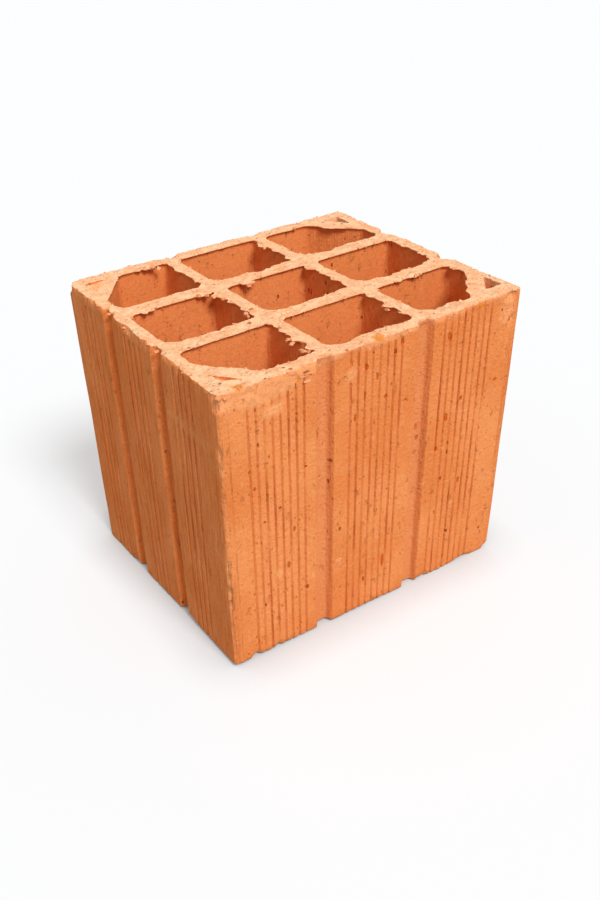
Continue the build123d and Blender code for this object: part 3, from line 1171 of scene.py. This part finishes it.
class Clay(Nodes):
    """Fired clay: drawn skin with streaks, pale wire-cut faces, pits, grains and inclusions."""

    def __init__(self):
        super().__init__("fired_clay")
        self.cut, self.inner, self.line, self.groove, self.chip = (
            self.value(label) for label in ("cut", "inner", "line", "groove", "chip"))
        across = self.math("ABSOLUTE", self.split[0])
        self.side = self.ramp(across, half_length - side_start, half_length - side_full)
        patterns = {label: self.noise(*kind) for label, kind in clay_patterns.items()}
        dots = {label: self.specks(*kind) for label, kind in clay_dots.items()}
        self.cloud, self.blotch, self.grain = patterns["cloud"], patterns["blotch"], patterns["grain"]
        self.crumbs, self.streak = patterns["crumbs"], patterns["streak"]
        self.flakes = self.ramp(patterns["flakes"], 0.52, 0.56)
        self.scabs = self.ramp(patterns["scabs"], 0.64, 0.68)
        self.small = self.larger(dots["fine_pits"], self.times(dots["bits"], self.cut))
        self.rust = self.larger(dots["rust"], self.marks(rust_marks))
        pits = self.larger(dots["pits"], self.marks(dark_marks))
        self.pits = self.larger(pits, self.times(dots["drips"], self.inner))
        self.yellow = self.larger(dots["yellow"], self.marks(ochre_marks))
        self.nicks = self.marks(pale_marks)

    def skin(self):
        """Colour of the drawn skin. Streaks and torn grooves show most on the short sides. The score lines
        and the flanks of the keying grooves are darkened with painted shade, and the short sides get a more
        orange painted shade tint.
        """
        side, groove, streak = self.side, self.groove, self.streak
        # Painted shade: the flanks of the keying grooves on the long faces are darkened.
        groove_flank_shade = self.times(groove, self.math("SUBTRACT", 1.0, groove))
        groove_flank_shade = self.times(groove_flank_shade, self.math("SUBTRACT", 1.0, side))
        return self.coated(
            self.mix(self.ramp(self.cloud, 0.35, 0.68), skin_deep, skin_orange),
            (self.ramp(self.blotch, 0.52, 0.74), 0.35, skin_pale),
            (self.ramp(self.blotch, 0.46, 0.3), 0.4, skin_deep),
            (self.ramp(streak, 0.52, 0.75), 0.4, skin_deep),
            (self.scabs, 0.35, dark_skin_and_shade),
            (self.inner, 0.6, cell_orange),
            # Painted shade: the score lines are darkened, less on the short sides.
            (self.line, self.plus(0.6, side, -0.35), dark_skin_and_shade),
            (groove, self.plus(0.05, side, 0.65), fresh_orange_and_shade_tint),
            (groove_flank_shade, 2.2, dark_skin_and_shade),
            (self.times(self.ramp(streak, 0.53, 0.66), side), 0.45, dark_skin_and_shade),
            (self.times(self.ramp(streak, 0.45, 0.33), side), 0.4, skin_pale),
            (groove, self.plus(0.45, side, -0.45), groove_clay),
            # Painted shade colour: the short sides are tinted more orange, for the deeper orange of the
            # shaded side.
            (side, 0.16, fresh_orange_and_shade_tint),
            (self.chip, 0.55, fresh_pale))

    def cut_face(self):
        """Colour of the wire-cut ends."""
        return self.coated(
            self.mix(self.ramp(self.blotch, 0.3, 0.7), cut_peach, cut_pale),
            (self.ramp(self.crumbs, 0.55, 0.68), 0.35, skin_orange),
            (self.flakes, 0.25, cut_deep),
            (self.groove, 0.45, fresh_orange_and_shade_tint))

    def colour(self):
        """Colour of the whole brick, with its grains, nicks, dots and pits."""
        return self.coated(
            self.mix(self.cut, self.skin(), self.cut_face()),
            (self.ramp(self.grain, 0.54, 0.74), self.plus(0.2, self.cut, 0.12), cut_pale),
            (self.ramp(self.grain, 0.46, 0.26), self.plus(0.5, self.cut, -0.4), dark_skin_and_shade),
            (self.nicks, 0.4, fresh_pale),
            (self.rust, 0.85, rust_orange),
            (self.yellow, 0.8, ochre),
            (self.small, 0.5, rust_orange),
            (self.pits, 0.75, pit_brown))

    def relief(self):
        """Height of the finest relief, as a share of the bump's height."""
        drawn = self.math("SUBTRACT", 1.0, self.cut, clamp=True)
        rough = self.summed(0.6, (self.inner, -0.3), (self.cut, 0.1), (self.chip, -0.25))
        loose = self.summed(0.06, (self.chip, 0.06), (self.cut, 0.12))
        lumps = self.plus(self.math("ADD", self.crumbs, -0.75), self.grain, 0.5)
        return self.summed(
            self.times(lumps, rough),
            (self.streak, self.times(drawn, self.plus(0.9, self.side, 1.0))),
            (self.times(self.flakes, loose), -1.0),
            (self.times(self.scabs, drawn), -0.35),
            (self.pits, -0.5), (self.small, -0.25), (self.rust, -0.3), (self.nicks, -0.1))

    def finished(self):
        """The material, with its colour and its relief."""
        self.feed(self.shader["Base Color"], self.colour())
        bump = self.add("ShaderNodeBump", Height=self.relief(), Strength=1.0, Distance=bump_height)
        self.feed(self.shader["Normal"], bump.outputs[0])
        return self.material


# Light and ground: even light from all round, a large far lamp in front, and a plain floor.
sky_colour, sky_strength = (1.0, 0.93, 0.84, 1.0), 0.45
lamp_toward, lamp_width, lamp_strength = Vector((-0.035, -0.64, 0.77)), radians(20), 2.85
lamp_colour = (1.0, 0.98, 0.95)
floor_colour, floor_glow, floor_reach = srgb(184, 189, 195), 0.43, 6.0
# How far from the brick ambient occlusion dims the floor's glow, a painted shadow.
shadow_reach = 30 * mm


def background_rays(tree):
    """One for rays that show the background: straight from the camera, mirrored, or through glass."""
    path = tree.nodes.new("ShaderNodeLightPath")
    total = path.outputs["Is Camera Ray"]
    for ray in ("Is Glossy Ray", "Is Transmission Ray"):
        either = tree.nodes.new("ShaderNodeMath")
        either.operation = "MAXIMUM"
        tree.links.new(total, either.inputs[0])
        tree.links.new(path.outputs[ray], either.inputs[1])
        total = either.outputs[0]
    return total


def pale_material():
    """A plain grey surface that the camera sees as white, with the object's soft shadow on it. Its glow is
    dimmed by ambient occlusion near the brick, which paints a darker shadow around the base.
    """
    nodes = Nodes("floor_white")
    nodes.feed(nodes.shader["Base Color"], floor_colour)
    # Painted shadow: the floor's glow to the camera fades where the brick blocks the sky.
    painted_floor_shadow = nodes.add("ShaderNodeAmbientOcclusion", {"samples": 8}, Distance=shadow_reach)
    seen = nodes.times(background_rays(nodes.tree), painted_floor_shadow.outputs["AO"])
    nodes.feed(nodes.shader["Emission Strength"], nodes.times(seen, floor_glow))
    nodes.feed(nodes.shader["Emission Color"], white)
    return nodes.material


def add_floor():
    """A wide flat floor under the brick."""
    mesh = bpy.data.meshes.new("floor")
    corners = [(x * floor_reach, y * floor_reach, 0) for x, y in corner_sides]
    mesh.from_pydata(corners, [], [(0, 1, 2, 3)])
    mesh.materials.append(pale_material())
    floor = bpy.data.objects.new("floor", mesh)
    bpy.context.scene.collection.objects.link(floor)


def add_world():
    """Even light from all round, and plain white where the camera looks past the floor."""
    world = bpy.data.worlds.new("studio")
    world.use_nodes = True
    bpy.context.scene.world = world
    tree = world.node_tree
    fill, seen = tree.nodes["Background"], tree.nodes.new("ShaderNodeBackground")
    for node, colour, strength in ((fill, sky_colour, sky_strength), (seen, white, 1.0)):
        node.inputs[0].default_value = colour
        node.inputs[1].default_value = strength
    mixer = tree.nodes.new("ShaderNodeMixShader")
    tree.links.new(background_rays(tree), mixer.inputs[0])
    tree.links.new(fill.outputs[0], mixer.inputs[1])
    tree.links.new(seen.outputs[0], mixer.inputs[2])
    tree.links.new(mixer.outputs[0], tree.nodes["World Output"].inputs[0])


def add_lamp():
    """The large far lamp."""
    light = bpy.data.lights.new("key", "SUN")
    light.angle = lamp_width
    light.energy = lamp_strength
    light.color = lamp_colour
    lamp = bpy.data.objects.new("key", light)
    lamp.rotation_euler = lamp_toward.to_track_quat("Z", "Y").to_euler()
    bpy.context.scene.collection.objects.link(lamp)


# The camera's place, a point on the line that it looks along, and its tilt about that line. The rest
# is in pixels of the 600 by 900 frame: its focal length and where that line meets the picture.
camera_place = Vector((-283.4, -420.2, 378.9)) * mm
camera_aim = Vector((23.3, 48.7, -40.7)) * mm
camera_roll = radians(-2.05)
focal_pixels = 980.5
axis_x, axis_y = 285, 540
frame_width, frame_height = 600, 900


def add_camera():
    """The camera that the photo was taken with, as far as it could be worked out."""
    data = bpy.data.cameras.new("camera")
    data.sensor_width = 36
    data.lens = focal_pixels * data.sensor_width / frame_height
    data.shift_x = (frame_width / 2 - axis_x) / frame_height
    data.shift_y = (axis_y - frame_height / 2) / frame_height
    camera = bpy.data.objects.new("camera", data)
    look = (camera_aim - camera_place).to_track_quat("-Z", "Y").to_matrix()
    level = look @ Matrix.Rotation(camera_roll, 3, "Z")
    camera.matrix_world = Matrix.Translation(camera_place) @ level.to_4x4()
    bpy.context.scene.collection.objects.link(camera)
    bpy.context.scene.camera = camera


surface = brick_surface()
raw_points, painted = surface.arrays()
shaped_points = shape_points(raw_points, painted)
brick = make_object("fired_brick", shaped_points, surface.faces, painted, Clay().finished())
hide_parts("hollow_brick")
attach(brick, "root")

add_floor()
add_world()
add_lamp()
add_camera()
bpy.context.scene.view_settings.view_transform = "Standard"
